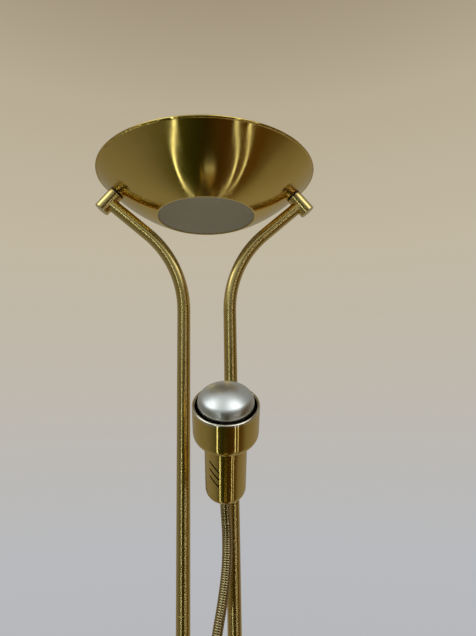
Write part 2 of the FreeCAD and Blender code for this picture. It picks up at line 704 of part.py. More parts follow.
def dimmer_terminals():
    block = box((-13, BOARD_FRONT - 10, 1066), (13, BOARD_FRONT, 1078))
    for k in range(4):
        x = -9.75 + 6.5 * k
        block = block.cut(rod(1.7, Vec(x, BOARD_FRONT - 5, 1060), Vec(x, BOARD_FRONT - 5, 1080)))
        block = block.cut(rod(1.9, Vec(x, BOARD_FRONT - 11, 1072), Vec(x, BOARD_FRONT - 4, 1072)))
    return block


KNOB_BACK = HOUSING_FRONT - 0.8
KNOB_FRONT = KNOB_BACK - KNOB_DEPTH
SHAFT_END = KNOB_FRONT + 3.0


def knob(x):
    """A fluted knob with a pointer line, turned about the axis that points forward."""
    crown = turned((SHAFT_RADIUS, 0), (KNOB_RADIUS - 0.5, 0), (KNOB_RADIUS, 0.5),
                   (KNOB_RADIUS, KNOB_DEPTH - 2.5),
                   ((KNOB_RADIUS - 0.7, KNOB_DEPTH - 0.7), (KNOB_RADIUS - 2.5, KNOB_DEPTH)),
                   (0, KNOB_DEPTH), (0, KNOB_DEPTH - 3.0), (SHAFT_RADIUS, KNOB_DEPTH - 3.0))
    flutes = 20
    for k in range(flutes):
        turn = 2 * math.pi * k / flutes
        groove = Vec((KNOB_RADIUS + 0.7) * math.cos(turn), (KNOB_RADIUS + 0.7) * math.sin(turn), 2)
        crown = crown.cut(rod(1.2, groove, groove + UP * (KNOB_DEPTH - 5.5)))
    crown = stand(crown, Vec(x, KNOB_BACK, KNOB_Z), FRONT)
    pointer = box((x - 0.6, KNOB_FRONT - 1, KNOB_Z + 2), (x + 0.6, KNOB_FRONT + 0.6, KNOB_Z + 8))
    return crown.cut(pointer)


def knob_shaft(x):
    return rod(SHAFT_RADIUS, Vec(x, POT_FRONT - 1.8, KNOB_Z), Vec(x, SHAFT_END, KNOB_Z))


# --- Flexible arm -------------------------------------------------------------
def flex_socket():
    """The turned collar on the dimmer box that the flexible arm stands in."""
    collar = turned((THREAD_RADIUS, 0), (9, 0), (9, 5), ((8.6, 6.2), (7.6, 7)),
                    (7.6, SOCKET_HEIGHT - 0.6), (7.0, SOCKET_HEIGHT), (FLEX_BORE, SOCKET_HEIGHT),
                    (FLEX_BORE, 10), (THREAD_RADIUS, 10))
    collar.translate(Vec(FLEX_ROOT.x, FLEX_ROOT.y, HOUSING_TOP))
    return collar


def flex_link(start, end, starts_at_bend, ends_at_bend):
    """A stretch of the arm. It starts with a cup about its lower bend and ends with a
    ball on a neck about its upper bend, so neighbours turn with an even gap."""
    length = (end - start).Length
    if ends_at_bend:
        link = turned((0, 0), (FLEX_RADIUS, 0), (FLEX_RADIUS, length - 7), (FLEX_NECK, length - 4),
                      (FLEX_NECK, length), (0, length))
        link = link.fuse(Part.makeSphere(FLEX_RADIUS, UP * length))
    else:
        link = rod(FLEX_RADIUS, Vec(0, 0, 0), UP * length)
    if starts_at_bend:
        link = link.cut(Part.makeSphere(FLEX_RADIUS + BALL_GAP, Vec(0, 0, 0)))
    link = link.cut(rod(FLEX_BORE, UP * -10, UP * (length + 10)))
    return stand(link, start, end - start)


def flex_links():
    stations = [FLEX_ROOT] + FLEX_BENDS + [FLEX_TIP - HEAD_AXIS * HEAD_BEND, FLEX_TIP]
    last = len(stations) - 2
    return [flex_link(stations[k], stations[k + 1], k > 0, k < last) for k in range(last + 1)]


# --- Reading head, made about its own axis with its base at the origin ----------
def head_collar():
    return turned((THREAD_RADIUS, 0), (THREAD_RADIUS, -4), (FLEX_BORE, -4),
                  (FLEX_BORE, -COLLAR_LENGTH), (COLLAR_RADIUS - 0.8, -COLLAR_LENGTH),
                  (COLLAR_RADIUS, -COLLAR_LENGTH + 0.8), (COLLAR_RADIUS, 0))


def head_body():
    outer, inner = HEAD_RADIUS, HEAD_RADIUS - HEAD_WALL
    corner = outer - HEAD_ROUND
    diagonal = math.sqrt(0.5)
    reach_out, reach_in = HEAD_ROUND * diagonal, (HEAD_ROUND - HEAD_WALL) * diagonal
    body = turned(
        (THREAD_RADIUS, 0), (corner, 0),
        ((corner + reach_out, HEAD_ROUND - reach_out), (outer, HEAD_ROUND)),
        (outer, NECK_HEIGHT), (inner, NECK_HEIGHT), (inner, HEAD_ROUND),
        ((corner + reach_in, HEAD_ROUND - reach_in), (corner, HEAD_WALL)),
        (THREAD_RADIUS, HEAD_WALL))
    for azimuth in (SLOT_AZIMUTH, SLOT_AZIMUTH + 180):
        for row in (-1, 0, 1):
            body = body.cut(vent_slot(azimuth, SLOT_MIDDLE + row * SLOT_PITCH))
    return body


def vent_slot(azimuth, height):
    """A slanting slot with round ends, cut through the head's wall."""
    run = (SLOT_LENGTH - SLOT_WIDTH) / 2
    slot = box((-run, -10, -SLOT_WIDTH / 2), (run, 0, SLOT_WIDTH / 2))
    for end in (-run, run):
        slot = slot.fuse(rod(SLOT_WIDTH / 2, Vec(end, -10, 0), Vec(end, 0, 0)))
    slot.rotate(Vec(0, 0, 0), REAR, SLOT_SLANT)
    slot.translate(Vec(0, -HEAD_RADIUS + 5, height))
    slot.rotate(Vec(0, 0, 0), UP, azimuth)
    return slot


def head_bell():
    outer, inner = BELL_RADIUS, BELL_RADIUS - BELL_WALL
    round_x, round_z = outer - BELL_ROUND, BELL_FLOOR + BELL_ROUND
    inner_round = BELL_ROUND - BELL_WALL
    diagonal = math.sqrt(0.5)
    top = HEAD_LENGTH - BELL_BEAD
    bell = turned(
        (HEAD_RADIUS, SLEEVE_BOTTOM), (HEAD_RADIUS + SLEEVE_WALL, SLEEVE_BOTTOM),
        (HEAD_RADIUS + SLEEVE_WALL, BELL_FLOOR), (round_x, BELL_FLOOR),
        ((round_x + BELL_ROUND * diagonal, round_z - BELL_ROUND * diagonal), (outer, round_z)),
        (outer, top), (inner, top), (inner, round_z),
        ((round_x + inner_round * diagonal, round_z - inner_round * diagonal),
         (round_x, BELL_FLOOR + BELL_WALL)),
        (HEAD_RADIUS - HEAD_WALL, BELL_FLOOR + BELL_WALL), (HEAD_RADIUS - HEAD_WALL, NECK_HEIGHT),
        (HEAD_RADIUS, NECK_HEIGHT))
    bead = Part.makeTorus(outer - BELL_BEAD, BELL_BEAD, UP * top)
    return bell.fuse(bead).removeSplitter()


def head_nipple():
    return pipe(THREAD_RADIUS, THREAD_BORE, Vec(0, 0, -4), Vec(0, 0, LAMPHOLDER_BOTTOM + 8))


def head_locknut():
    return hex_nut(Vec(0, 0, HEAD_WALL), UP)


def head_lampholder():
    """Small screw lampholder on the hollow thread."""
    low = LAMPHOLDER_BOTTOM
    return turned((THREAD_RADIUS, low), (9, low), (9, low + 8), (13.5, low + 13),
                  (13.5, low + 46), (16, low + 46), (16, low + 48.5), (9.2, low + 48.5),
                  (9.2, low + 40.6), (7.1, low + 39.6), (7.1, low + 24), (0, low + 24),
                  (0, low + 10), (THREAD_RADIUS, low + 10))


def bulb_outline(inset):
    """Half section of the reflector bulb's glass, with every wall moved in by inset."""
    dome, rounding = BULB_CURVE - inset, BULB_ROUND - inset
    dome_z = BULB_TOP - BULB_CURVE
    round_x = BULB_RADIUS - BULB_ROUND
    between = BULB_CURVE - BULB_ROUND
    round_z = dome_z + math.sqrt(between ** 2 - round_x ** 2)
    meet = math.asin(round_x / between)
    meeting = (dome * math.sin(meet), dome_z + dome * math.cos(meet))
    half_way = (dome * math.sin(meet / 2), dome_z + dome * math.cos(meet / 2))
    under = math.radians(40)
    rim_start = (round_x + rounding * math.cos(under), round_z - rounding * math.sin(under))
    neck, neck_low, neck_high = 8.2 - inset, BULB_TOP - 67, BULB_TOP - 59
    return [(0, neck_low), (neck, neck_low), (neck, neck_high),
            ((14.0 - inset, BULB_TOP - 39.2), rim_start),
            ((round_x + rounding, round_z), meeting), (half_way, (0, BULB_TOP - inset))]


def reading_bulb():
    return turned(*bulb_outline(0)).cut(turned(*bulb_outline(BULB_GLASS)))


def reading_bulb_cap():
    low = CAP_BOTTOM
    return turned((0, low), (2.6, low), (2.6, low + 1.2), (7, low + 3.5), (7, low + 15),
                  (8.9, low + 16.2), (8.9, low + 20), (8.2, low + 20), (8.2, low + 17), (0, low + 17))


# --- All pieces ---------------------------------------------------------------
def make_all():
    os.makedirs("parts", exist_ok=True)
    save("base_cover", base_cover())
    save("base_weight", base_weight())
    save("base_plate", base_plate())
    save("base_pad", base_pad())
    save("inlet_bush", inlet_bush())
    save("foot_inserts", *foot_inserts())
    save("foot_collars", *foot_collars())
    save("lower_poles", *both_sides(pole_section(BASE_TOP, POLE_SEAMS[0])))
    save("middle_poles", *middle_poles())
    save("pole_joiners", *pole_joiners())
    save("right_arm", right_arm())
    save("left_arm", mirrored(right_arm()))

    save("dish", dish_shell())
    save("dish_glass", dish_glass())
    save("dish_barrels", *dish_barrels())
    save("dish_washers", *dish_washers())
    save("lamp_bridge", lamp_bridge())
    save("tube_holders", *tube_holders())
    save("right_contact_pin", contact_pin())
    save("left_contact_pin", mirrored(contact_pin()))
    save("halogen_tube", halogen_tube())
    save("halogen_filament", halogen_filament())
    save("tube_caps", *tube_caps())
    save("reflector", reflector())

    save("threaded_nipples", *threaded_nipples())
    save("lock_washers", *lock_washers())
    save("lock_nuts", *lock_nuts())
    save("mains_lead", mains_lead())
    save("uplighter_lead", uplighter_lead())

    save("housing_front", housing_front())
    save("housing_back", housing_back())
    save("screws", *base_plate_screws(), *holder_screws(), *housing_screws())
    save("dimmer_board", dimmer_board())
    save("dimmer_pots", *dimmer_pots())
    save("dimmer_chokes", *dimmer_chokes())
    save("terminal_blocks", base_terminals(), dimmer_terminals())
    for name, side in (("left", -1), ("right", 1)):
        save(name + "_knob", knob(side * KNOB_X))
        save(name + "_knob_shaft", knob_shaft(side * KNOB_X))

    save("flex_socket", flex_socket())
    links = flex_links()
    save("flex_root", links[0])
    for number, link in enumerate(links[1:-1], 1):
        save("flex_link_" + str(number), link)
    save("flex_tip", links[-1])

    for piece in (head_collar, head_body, head_bell, head_nipple, head_locknut,
                  head_lampholder, reading_bulb, reading_bulb_cap):
        save(piece.__name__, in_head(piece()))


make_all()
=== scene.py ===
import json
import math
import bpy
from mathutils import Matrix, Vector


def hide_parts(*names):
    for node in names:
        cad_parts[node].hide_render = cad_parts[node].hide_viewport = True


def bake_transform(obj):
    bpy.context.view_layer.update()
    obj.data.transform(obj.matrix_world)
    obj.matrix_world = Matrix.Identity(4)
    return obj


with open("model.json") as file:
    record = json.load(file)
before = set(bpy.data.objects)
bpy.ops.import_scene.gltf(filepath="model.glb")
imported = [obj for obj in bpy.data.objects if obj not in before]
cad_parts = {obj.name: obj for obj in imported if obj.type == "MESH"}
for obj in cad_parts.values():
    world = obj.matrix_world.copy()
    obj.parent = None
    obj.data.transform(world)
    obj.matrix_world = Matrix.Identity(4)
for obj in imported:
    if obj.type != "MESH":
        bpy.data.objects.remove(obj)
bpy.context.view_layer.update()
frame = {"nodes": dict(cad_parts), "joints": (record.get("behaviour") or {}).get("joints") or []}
NODES = frame["nodes"]
MM = 0.001

# --- Places, in metres, in the CAD model's frame --------------------------------
HEAD_TILT = math.radians(38.3)      # forward
HEAD_LEAN = math.radians(1.2)       # to the left
HEAD_AXIS = Vector((-math.sin(HEAD_LEAN) * math.cos(HEAD_TILT), -math.sin(HEAD_TILT),
                    math.cos(HEAD_LEAN) * math.cos(HEAD_TILT)))
PLACES = {joint["name"]: joint.get("pos_m") for joint in frame["joints"]}
BENDS = ["nod_1", "sway_1", "nod_2", "sway_2", "nod_3", "sway_3", "nod_4", "sway_4", "nod_5"]
ARM_BENDS = [Vector(PLACES[name]) for name in BENDS]
HALF_LINK = 16.4 * MM               # from the arm's ends to the nearest bend
COLLAR_LENGTH = 7.0 * MM            # between the arm's tip and the head
UP = Vector((0, 0, 1))
ARM_ROOT = ARM_BENDS[0] - UP * HALF_LINK
ARM_TIP = ARM_BENDS[-1] + HEAD_AXIS * HALF_LINK
HEAD_BASE = ARM_TIP + HEAD_AXIS * COLLAR_LENGTH
ARM_RADIUS = 5.75 * MM
COIL_PITCH = 2.6 * MM
COIL_GROOVE = 0.75 * MM
COIL_SIDES = 28
ROWS_PER_RIB = 6


# --- Camera -----------------------------------------------------------------------
def add_camera():
    """The camera stands close in front, below the bowl, looking a little up."""
    place = Vector((-6.57, -585.9, 1504.9)) * MM
    yaw, pitch, roll = math.radians(4.43), math.radians(10.32), math.radians(1.05)
    forward = Vector((math.sin(yaw) * math.cos(pitch), math.cos(yaw) * math.cos(pitch),
                      math.sin(pitch)))
    level = Vector((math.cos(yaw), -math.sin(yaw), 0))
    upright = level.cross(forward)
    right = level * math.cos(roll) - upright * math.sin(roll)
    up = level * math.sin(roll) + upright * math.cos(roll)
    data = bpy.data.cameras.new("camera")
    data.sensor_fit = "HORIZONTAL"
    data.sensor_width = 36.0
    data.lens = 36.08
    data.clip_start = 0.02
    camera = bpy.data.objects.new("camera", data)
    turn = Matrix((right, up, -forward)).transposed().to_4x4()
    camera.matrix_world = Matrix.Translation(place) @ turn
    bpy.context.scene.collection.objects.link(camera)
    bpy.context.scene.camera = camera


# --- Node helpers -------------------------------------------------------------------
class Surface:
    """A material round one Principled shader, with short ways to add nodes."""

    def __init__(self, name, **values):
        """The values are the shader's own sockets, with _ for a space."""
        self.material = bpy.data.materials.new(name)
        self.material.use_nodes = True
        self.tree = self.material.node_tree
        self.shader = self.tree.nodes["Principled BSDF"]
        for socket, value in values.items():
            self.shader.inputs[socket.replace("_", " ")].default_value = value
        self.place = self.node("ShaderNodeTexCoord").outputs["Object"]

    def node(self, kind, **settings):
        made = self.tree.nodes.new(kind)
        for setting, value in settings.items():
            setattr(made, setting, value)
        return made

    def link(self, output, target):
        self.tree.links.new(output, target)

    def to_shader(self, output, socket):
        self.link(output, self.shader.inputs[socket])

    def scaled(self, vector, scale):
        """The vector with each part multiplied, as x, y and z scales."""
        maths = self.node("ShaderNodeVectorMath", operation="MULTIPLY")
        self.link(vector, maths.inputs[0])
        maths.inputs[1].default_value = scale
        return maths.outputs["Vector"]

    def noise(self, vector, scale, detail=3.0, roughness=0.5):
        texture = self.node("ShaderNodeTexNoise")
        self.link(vector, texture.inputs["Vector"])
        texture.inputs["Scale"].default_value = scale
        texture.inputs["Detail"].default_value = detail
        texture.inputs["Roughness"].default_value = roughness
        return texture.outputs["Fac"]

    def ramp(self, value, *stops):
        """A colour ramp; each stop is (position, colour), where a colour may be one number."""
        made = self.node("ShaderNodeValToRGB")
        elements = made.color_ramp.elements
        while len(elements) < len(stops):
            elements.new(0.5)
        for element, (position, colour) in zip(elements, stops):
            element.position = position
            grey = isinstance(colour, (int, float))
            element.color = (colour, colour, colour, 1) if grey else (*colour, 1)
        self.link(value, made.inputs["Fac"])
        return made.outputs["Color"]

    def bump(self, height, distance, strength=1.0):
        made = self.node("ShaderNodeBump")
        made.inputs["Distance"].default_value = distance
        made.inputs["Strength"].default_value = strength
        self.link(height, made.inputs["Height"])
        self.to_shader(made.outputs["Normal"], "Normal")

    def about_axis(self, point, axis):
        """Three outputs for marks that a lathe leaves: a pair of the distance from the axis and
        the height along it, the vector that runs round the axis, and the height alone."""
        away = self.node("ShaderNodeVectorMath", operation="SUBTRACT")
        self.link(self.place, away.inputs[0])
        away.inputs[1].default_value = point
        along = self.node("ShaderNodeVectorMath", operation="DOT_PRODUCT")
        self.link(away.outputs["Vector"], along.inputs[0])
        along.inputs[1].default_value = axis
        across = self.node("ShaderNodeVectorMath", operation="CROSS_PRODUCT")
        self.link(away.outputs["Vector"], across.inputs[0])
        across.inputs[1].default_value = axis
        reach = self.node("ShaderNodeVectorMath", operation="LENGTH")
        self.link(across.outputs["Vector"], reach.inputs[0])
        pair = self.node("ShaderNodeCombineXYZ")
        self.link(reach.outputs["Value"], pair.inputs["X"])
        self.link(along.outputs["Value"], pair.inputs["Y"])
        return pair.outputs["Vector"], across.outputs["Vector"], along.outputs["Value"]

    def maths(self, operation, first, second=None, third=None):
        """A maths node; each value is a number or another node's output."""
        made = self.node("ShaderNodeMath", operation=operation)
        for socket, value in zip(made.inputs, (first, second, third)):
            if isinstance(value, (int, float)):
                socket.default_value = value
            elif value is not None:
                self.link(value, socket)
        return made.outputs["Value"]

    def mix(self, share, first, second, blend_type="MIX"):
        """Goes from the first colour to the second; each is a colour or another output."""
        made = self.node("ShaderNodeMix", data_type="RGBA", blend_type=blend_type)
        sockets = [socket for socket in made.inputs if socket.type == "RGBA"]
        for socket, value in zip([made.inputs["Factor"]] + sockets, (share, first, second)):
            if isinstance(value, float):
                socket.default_value = value
            elif isinstance(value, tuple):
                socket.default_value = (*value, 1)
            else:
                self.link(value, socket)
        return next(output for output in made.outputs if output.type == "RGBA")

    def facing(self, axis, round_axis):
        """How far the surface faces outward from its axis, and how far along it."""
        normal = self.node("ShaderNodeTexCoord").outputs["Normal"]
        outward = self.node("ShaderNodeVectorMath", operation="CROSS_PRODUCT")
        outward.inputs[0].default_value = axis
        self.link(round_axis, outward.inputs[1])
        unit = self.node("ShaderNodeVectorMath", operation="NORMALIZE")
        self.link(outward.outputs["Vector"], unit.inputs[0])
        out = self.node("ShaderNodeVectorMath", operation="DOT_PRODUCT")
        self.link(normal, out.inputs[0])
        self.link(unit.outputs["Vector"], out.inputs[1])
        along = self.node("ShaderNodeVectorMath", operation="DOT_PRODUCT")
        self.link(normal, along.inputs[0])
        along.inputs[1].default_value = axis
        return out.outputs["Value"], along.outputs["Value"]

    def brush_along(self, direction):
        """Sets the way that the surface's fine grooves run, given in the object's space."""
        turned = self.node("ShaderNodeVectorTransform", vector_type="VECTOR",
                           convert_from="OBJECT", convert_to="WORLD")
        self.link(direction, turned.inputs["Vector"])
        self.to_shader(turned.outputs["Vector"], "Tangent")


# --- Metals ---------------------------------------------------------------------------
BRASS = (0.80, 0.57, 0.16, 1)
# Near-black colour painted on the insides of the head and bell, and in the head's slots, as painted
# shade.
INSIDE_PAINTED_SHADE = (0.006, 0.006, 0.006)
# Pale colour painted on the bell's lip as a painted highlight.
LIP_PAINTED_HIGHLIGHT = (0.90, 0.82, 0.66)
SPUN_ROUGHNESS = 0.13
FACES_OUT = 0.4                     # a face outside has more than this of its normal outward


def spun_brass(name, point, axis, black=None, lip=None):
    """Brass turned or spun about an axis: fine grooves round it spread reflections along it.
    black gives the lowest and highest heights of the inside that is painted near-black as painted
    shade, and how its test leans to faces that look along the axis; lip gives the height where the
    lip, with its painted highlight, starts."""
    surface = Surface(name, Base_Color=BRASS, Metallic=1.0, Anisotropic=1.0,
                      Anisotropic_Rotation=0.25, Roughness=SPUN_ROUGHNESS)
    profile, round_axis, height = surface.about_axis(point, axis)
    surface.brush_along(round_axis)
    grooves = surface.noise(profile, 2500, 2.0, 0.6)
    patches = surface.noise(surface.place, 14, 4.0, 0.6)
    tone = surface.ramp(patches, (0.3, (0.76, 0.54, 0.14)), (0.7, (0.83, 0.60, 0.18)))
    dull = surface.ramp(grooves, (0.2, SPUN_ROUGHNESS - 0.03), (0.8, SPUN_ROUGHNESS + 0.03))
    # Painted shade: faces inside, between the two heights, take the near-black colour.
    if black:
        low, high, lean = black
        outward, along_axis = surface.facing(axis, round_axis)
        test = surface.maths("SUBTRACT", outward, surface.maths("MULTIPLY", along_axis, lean))
        inward = surface.maths("LESS_THAN", test, FACES_OUT)
        above = surface.maths("GREATER_THAN", height, low)
        below = surface.maths("LESS_THAN", height, high)
        inside = surface.maths("MULTIPLY", inward, surface.maths("MULTIPLY", above, below))
        tone = surface.mix(inside, tone, INSIDE_PAINTED_SHADE)
    # Painted highlight: above this height the lip is painted pale.
    if lip:
        on_lip = surface.maths("GREATER_THAN", height, lip)
        tone = surface.mix(on_lip, tone, LIP_PAINTED_HIGHLIGHT)
    surface.to_shader(tone, "Base Color")
    surface.to_shader(dull, "Roughness")
    surface.bump(grooves, 0.000004, 0.5)
    return surface.material


def drawn_brass():
    """Polished, lacquered tube with a few dull patches."""
    surface = Surface("polished_brass", Base_Color=BRASS, Metallic=1.0, Roughness=0.22)
    patches = surface.noise(surface.place, 20, 4.0)
    surface.to_shader(surface.ramp(patches, (0.3, 0.20), (0.75, 0.24)), "Roughness")
    tone = surface.ramp(patches, (0.3, (0.80, 0.60, 0.21)), (0.7, (0.84, 0.64, 0.25)))
    surface.to_shader(tone, "Base Color")
    return surface.material


def coil_brass():
    """The flexible arm's wire: darker in its grooves, as painted shade."""
    surface = Surface("coil_brass", Base_Color=(0.62, 0.47, 0.22, 1), Metallic=1.0, Roughness=0.26)
    edge = surface.node("ShaderNodeAttribute", attribute_name="groove")
    # Painted shade: the colour goes near-black where the groove is deepest.
    tone = surface.ramp(edge.outputs["Fac"], (0.0, (0.66, 0.51, 0.25)), (1.0, (0.10, 0.075, 0.03)))
    surface.to_shader(tone, "Base Color")
    patches = surface.noise(surface.place, 220, 3.0)
    surface.to_shader(surface.ramp(patches, (0.3, 0.20), (0.75, 0.34)), "Roughness")
    return surface.material


def plain_metal(name, colour, roughness, grain=0.00004, scale=900):
    """A metal with no marks of how it was made, apart from a fine grain."""
    surface = Surface(name, Base_Color=(*colour, 1), Metallic=1.0, Roughness=roughness)
    speckle = surface.noise(surface.place, scale, 4.0, 0.6)
    patches = surface.noise(surface.place, 30, 3.0)
    light = tuple(min(1.0, part * 1.12) for part in colour)
    dark = tuple(part * 0.86 for part in colour)
    surface.to_shader(surface.ramp(patches, (0.3, dark), (0.7, light)), "Base Color")
    spread = surface.ramp(speckle, (0.3, roughness * 0.8), (0.7, min(1.0, roughness * 1.2)))
    surface.to_shader(spread, "Roughness")
    surface.bump(speckle, grain, 0.5)
    return surface.material


# --- Glass, ceramic, plastic and felt ---------------------------------------------------
def silvered_glass():
    """The reading bulb's silvered dome."""
    surface = Surface("silvered_glass", Base_Color=(0.80, 0.80, 0.78, 1), Metallic=1.0,
                      Roughness=0.36, Coat_Weight=0.15, Coat_Roughness=0.06)
    patches = surface.noise(surface.place, 90, 4.0)
    surface.to_shader(surface.ramp(patches, (0.3, 0.33), (0.8, 0.39)), "Roughness")
    smears = surface.noise(surface.scaled(surface.place, (1, 1, 3)), 55, 5.0, 0.7)
    surface.bump(smears, 0.00012, 0.25)
    return surface.material


def frosted_glass():
    """The disc in the bowl's floor, unlit."""
    surface = Surface("frosted_glass", Base_Color=(0.36, 0.32, 0.22, 1), Roughness=0.55,
                      Transmission_Weight=0.12, IOR=1.5)
    pits = surface.noise(surface.place, 1600, 2.0)
    surface.bump(pits, 0.00003, 0.5)
    clouds = surface.noise(surface.place, 25, 3.0)
    tone = surface.ramp(clouds, (0.3, (0.34, 0.30, 0.205)), (0.7, (0.38, 0.335, 0.235)))
    surface.to_shader(tone, "Base Color")
    return surface.material


def quartz():
    """The halogen tube's clear glass, drawn along its length."""
    surface = Surface("quartz_glass", Base_Color=(0.95, 0.96, 0.97, 1), Roughness=0.03,
                      Transmission_Weight=1.0, IOR=1.46)
    ripples = surface.noise(surface.scaled(surface.place, (20, 200, 200)), 1.0, 2.0)
    surface.bump(ripples, 0.00005, 0.2)
    return surface.material


def moulded(name, colour, roughness, grain_scale=700, grain=0.00006, coat=0.0):
    """A plastic, rubber or ceramic piece with its fine surface grain."""
    surface = Surface(name, Base_Color=(*colour, 1), Roughness=roughness, Coat_Weight=coat,
                      Coat_Roughness=0.08)
    grain_height = surface.noise(surface.place, grain_scale, 3.0, 0.6)
    surface.bump(grain_height, grain, 0.5)
    patches = surface.noise(surface.place, 35, 4.0)
    light = tuple(min(1.0, part * 1.1 + 0.004) for part in colour)
    dark = tuple(part * 0.88 for part in colour)
    surface.to_shader(surface.ramp(patches, (0.3, dark), (0.7, light)), "Base Color")
    low, high = max(0.02, roughness - 0.06), min(1.0, roughness + 0.08)
    surface.to_shader(surface.ramp(patches, (0.3, low), (0.8, high)), "Roughness")
    return surface.material


def felt():
    """The pad under the base."""
    surface = Surface("felt", Base_Color=(0.05, 0.05, 0.05, 1), Roughness=0.95, Sheen_Weight=0.4)
    fibres = surface.noise(surface.scaled(surface.place, (1, 1, 4)), 900, 6.0, 0.8)
    surface.to_shader(surface.ramp(fibres, (0.35, 0.02), (0.7, 0.10)), "Base Color")
    surface.bump(fibres, 0.0004, 0.8)
    return surface.material


def circuit_board():
    """Green board with a plain pattern of tracks."""
    surface = Surface("circuit_board", Base_Color=(0.03, 0.16, 0.06, 1), Roughness=0.35)
    tracks = surface.node("ShaderNodeTexBrick")
    surface.link(surface.scaled(surface.place, (90, 90, 160)), tracks.inputs["Vector"])
    tracks.inputs["Color1"].default_value = (0.03, 0.17, 0.07, 1)
    tracks.inputs["Color2"].default_value = (0.02, 0.11, 0.05, 1)
    tracks.inputs["Mortar"].default_value = (0.10, 0.28, 0.12, 1)
    surface.to_shader(tracks.outputs["Color"], "Base Color")
    return surface.material


# --- The flexible arm ---------------------------------------------------------------------
def curve_point(points, place):
    """A point on a smooth curve through the points; place counts from 0 at the first one."""
    last = len(points) - 1
    index = min(int(place), last - 1)
    t = place - index
    before = points[index - 1] if index else points[0] * 2 - points[1]
    after = points[index + 2] if index + 2 <= last else points[last] * 2 - points[last - 1]
    start, end = points[index], points[index + 1]
    return 0.5 * (start * 2 + (end - before) * t + (before * 2 - start * 5 + end * 4 - after) * t ** 2
                  + (start * 3 - before - end * 3 + after) * t ** 3)


def run_length(stations, first, last, steps=60):
    """The length of the arm's middle line between two places."""
    places = [first + (last - first) * step / steps for step in range(steps + 1)]
    centres = [curve_point(stations, place) for place in places]
    return sum((there - here).length for here, there in zip(centres, centres[1:]))


def coil_piece(name, stations, first, last, material):
    """One stretch of wound wire, a row of rounded ribs, between two places on the arm."""
    rows = round(run_length(stations, first, last) / COIL_PITCH) * ROWS_PER_RIB
    vertices, faces, grooves = [], [], []
    for row in range(rows + 1):
        place = first + (last - first) * row / rows
        centre = curve_point(stations, place)
        near = (curve_point(stations, place - 0.01), curve_point(stations, place + 0.01))
        ahead = (near[1] - near[0]).normalized()
        side = ahead.cross(Vector((0, 1, 0))).normalized()
        front = side.cross(ahead)
        rib = 2 * (row % ROWS_PER_RIB) / ROWS_PER_RIB - 1
        depth = 1 - math.sqrt(max(0.0, 1 - rib * rib))
        radius = ARM_RADIUS - COIL_GROOVE * depth
        for column in range(COIL_SIDES):
            turn = 2 * math.pi * column / COIL_SIDES
            vertices.append(centre + (side * math.cos(turn) + front * math.sin(turn)) * radius)
            grooves.append(depth)
    for row in range(rows):
        for column in range(COIL_SIDES):
            beside = (column + 1) % COIL_SIDES
            low, high = row * COIL_SIDES, (row + 1) * COIL_SIDES
            faces.append((low + column, low + beside, high + beside, high + column))
    mesh = bpy.data.meshes.new(name)
    mesh.from_pydata(vertices, [], faces)
    mesh.attributes.new("groove", "FLOAT", "POINT").data.foreach_set("value", grooves)
    mesh.shade_smooth()
    mesh.materials.append(material)
    piece = bpy.data.objects.new(name, mesh)
    bpy.context.scene.collection.objects.link(piece)
    return piece


def add_flexible_arm(material):
    """One piece of coil over each bend, from the middle of one link to the middle of the next."""
    stations = [ARM_ROOT] + ARM_BENDS + [ARM_TIP]
    count = len(ARM_BENDS)
    for bend in range(1, count + 1):
        first = 0.0 if bend == 1 else bend - 0.5
        last = count + 1.0 if bend == count else bend + 0.5
        piece = coil_piece("flexible_coil_" + str(bend), stations, first, last, material)
        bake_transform(piece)
        if bend < count:
            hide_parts("flex_link_" + str(bend))
        if bend == 1:
            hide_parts("flex_root")
        if bend == count:
            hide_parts("flex_tip")


# --- Materials on the CAD pieces -------------------------------------------------------------
def paint(material, *names):
    """Puts one material on the named CAD pieces."""
    for name in names:
        data = NODES[name].data
        data.materials.clear()
        data.materials.append(material)


